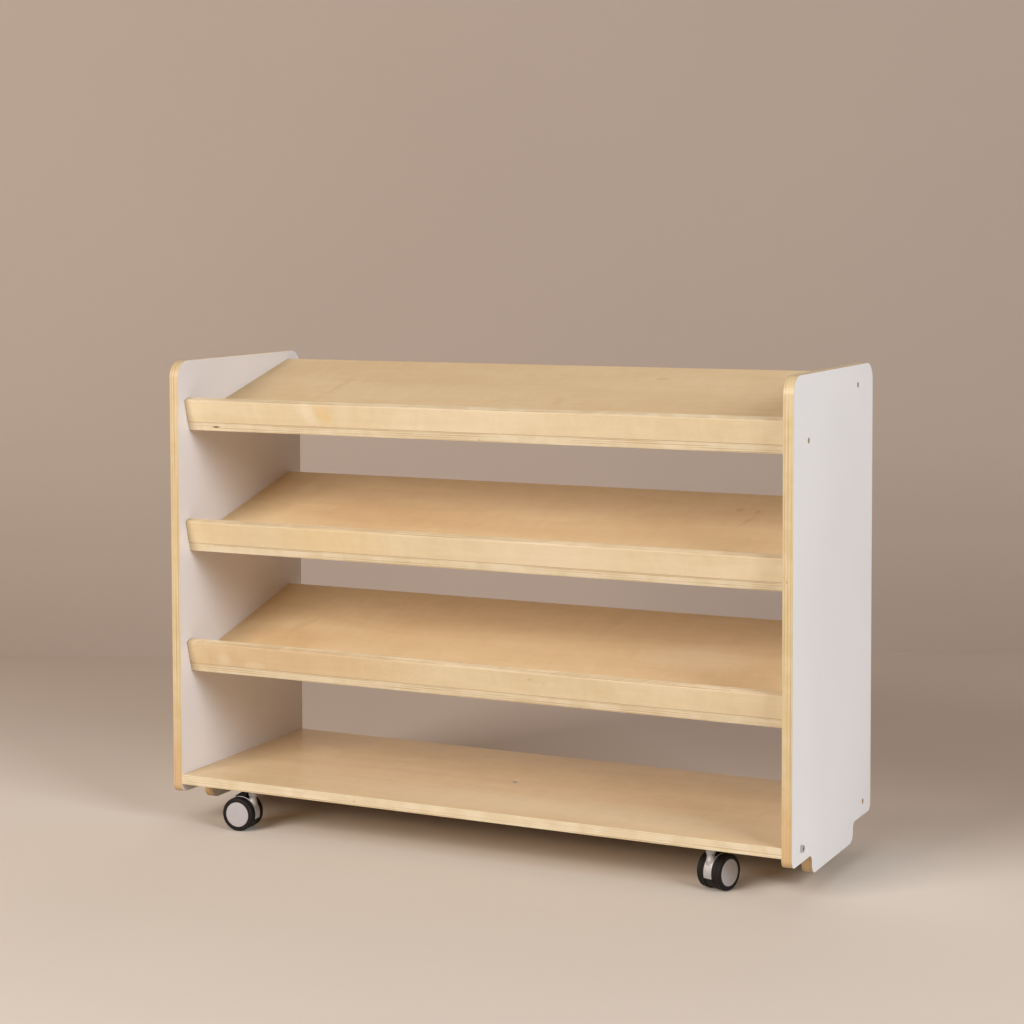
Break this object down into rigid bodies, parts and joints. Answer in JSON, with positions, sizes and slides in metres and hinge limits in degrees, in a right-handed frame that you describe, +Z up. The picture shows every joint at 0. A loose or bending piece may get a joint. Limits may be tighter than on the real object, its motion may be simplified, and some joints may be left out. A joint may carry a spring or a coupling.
{
  "type": "mobile book shelf",
  "caption": "Mobile book shelf of birch plywood: white-faced side panels, sloping shelves with front lips, a flat bottom shelf and twin-wheel castors.",
  "frame": {"origin": "centre of the unit's footprint, on the floor under the castor wheels", "axes": "+X along the shelves to the right as seen from the front, -Y towards the front with the lips, +Z up"},
  "size_m": [1.2092, 0.45, 0.87],
  "materials": {
    "birch_plywood": "birch plywood edge, clear satin lacquer",
    "birch_boards": "birch veneer, clear satin lacquer",
    "birch_lips": "birch veneer, clear satin lacquer",
    "white_laminate": "white matt laminate",
    "beech": "bare fluted beech",
    "steel": "zinc plated",
    "silver_castor_body": "satin silver",
    "grey_hubs": "matt grey",
    "black_tyres": "matt black",
    "black_plastic": "matt black"
  },
  "bodies": {
    "shelf_unit": {"left_panel": "birch_plywood", "left_panel_outer_laminate": "white_laminate", "left_panel_inner_laminate": "white_laminate", "right_panel": "birch_plywood", "right_panel_outer_laminate": "white_laminate", "right_panel_inner_laminate": "white_laminate", "top_shelf": "birch_boards", "top_lip": "birch_lips", "middle_shelf": "birch_boards", "middle_lip": "birch_lips", "lower_shelf": "birch_boards", "lower_lip": "birch_lips", "bottom_shelf": "birch_boards", "stiffening_rail": "birch_boards", "sunk_bolts": "steel", "proud_bolts": "steel", "barrel_nuts": "steel", "cam_bolts": "steel", "cam_discs": "steel", "wood_dowels": "beech", "rail_screw": "steel", "plate_screws": "steel", "castor_kingpins": "steel", "castor_plate_fl": "steel", "castor_plate_fr": "steel", "castor_plate_rl": "steel", "castor_plate_rr": "steel"},
    "castor_fl": {"castor_body_fl": "silver_castor_body", "castor_insert_fl": "black_plastic", "castor_axle_fl": "steel"},
    "wheel_fl_a": {"hub_fl_a": "grey_hubs", "tyre_fl_a": "black_tyres"},
    "wheel_fl_b": {"hub_fl_b": "grey_hubs", "tyre_fl_b": "black_tyres"},
    "pedal_fl": {"brake_pedal_fl": "black_plastic"},
    "castor_fr": {"castor_body_fr": "silver_castor_body", "castor_insert_fr": "black_plastic", "castor_axle_fr": "steel"},
    "wheel_fr_a": {"hub_fr_a": "grey_hubs", "tyre_fr_a": "black_tyres"},
    "wheel_fr_b": {"hub_fr_b": "grey_hubs", "tyre_fr_b": "black_tyres"},
    "pedal_fr": {"brake_pedal_fr": "black_plastic"},
    "castor_rl": {"castor_body_rl": "silver_castor_body", "castor_insert_rl": "black_plastic", "castor_axle_rl": "steel"},
    "wheel_rl_a": {"hub_rl_a": "grey_hubs", "tyre_rl_a": "black_tyres"},
    "wheel_rl_b": {"hub_rl_b": "grey_hubs", "tyre_rl_b": "black_tyres"},
    "castor_rr": {"castor_body_rr": "silver_castor_body", "castor_insert_rr": "black_plastic", "castor_axle_rr": "steel"},
    "wheel_rr_a": {"hub_rr_a": "grey_hubs", "tyre_rr_a": "black_tyres"},
    "wheel_rr_b": {"hub_rr_b": "grey_hubs", "tyre_rr_b": "black_tyres"}
  },
  "joints": [
    {"name": "swivel_fl", "type": "hinge", "parent": "shelf_unit", "child": "castor_fl", "pos_m": [-0.448, -0.191, 0.066], "axis": [0, 0, 1], "continuous": true},
    {"name": "spin_fl_a", "type": "hinge", "parent": "castor_fl", "child": "wheel_fl_a", "pos_m": [-0.46895, -0.19246, 0.031], "axis": [-0.0698, 0.9976, 0], "continuous": true},
    {"name": "spin_fl_b", "type": "hinge", "parent": "castor_fl", "child": "wheel_fl_b", "pos_m": [-0.46895, -0.19246, 0.031], "axis": [-0.0698, 0.9976, 0], "continuous": true},
    {"name": "brake_fl", "type": "hinge", "parent": "castor_fl", "child": "pedal_fl", "pos_m": [-0.46107, -0.19191, 0.05682], "axis": [0.0698, -0.9976, 0], "range_deg": [0, 8]},
    {"name": "swivel_fr", "type": "hinge", "parent": "shelf_unit", "child": "castor_fr", "pos_m": [0.448, -0.191, 0.066], "axis": [0, 0, 1], "continuous": true},
    {"name": "spin_fr_a", "type": "hinge", "parent": "castor_fr", "child": "wheel_fr_a", "pos_m": [0.45449, -0.17103, 0.031], "axis": [0.9511, -0.309, 0], "continuous": true},
    {"name": "spin_fr_b", "type": "hinge", "parent": "castor_fr", "child": "wheel_fr_b", "pos_m": [0.45449, -0.17103, 0.031], "axis": [0.9511, -0.309, 0], "continuous": true},
    {"name": "brake_fr", "type": "hinge", "parent": "castor_fr", "child": "pedal_fr", "pos_m": [0.45205, -0.17854, 0.05682], "axis": [-0.9511, 0.309, 0], "range_deg": [0, 8]},
    {"name": "swivel_rl", "type": "hinge", "parent": "shelf_unit", "child": "castor_rl", "pos_m": [-0.448, 0.191, 0.066], "axis": [0, 0, 1], "continuous": true},
    {"name": "spin_rl_a", "type": "hinge", "parent": "castor_rl", "child": "wheel_rl_a", "pos_m": [-0.46455, 0.17807, 0.031], "axis": [-0.6157, 0.788, 0], "continuous": true},
    {"name": "spin_rl_b", "type": "hinge", "parent": "castor_rl", "child": "wheel_rl_b", "pos_m": [-0.46455, 0.17807, 0.031], "axis": [-0.6157, 0.788, 0], "continuous": true},
    {"name": "swivel_rr", "type": "hinge", "parent": "shelf_unit", "child": "castor_rr", "pos_m": [0.448, 0.191, 0.066], "axis": [0, 0, 1], "continuous": true},
    {"name": "spin_rr_a", "type": "hinge", "parent": "castor_rr", "child": "wheel_rr_a", "pos_m": [0.45786, 0.17246, 0.031], "axis": [-0.8829, -0.4695, 0], "continuous": true},
    {"name": "spin_rr_b", "type": "hinge", "parent": "castor_rr", "child": "wheel_rr_b", "pos_m": [0.45786, 0.17246, 0.031], "axis": [-0.8829, -0.4695, 0], "continuous": true}
  ]
}
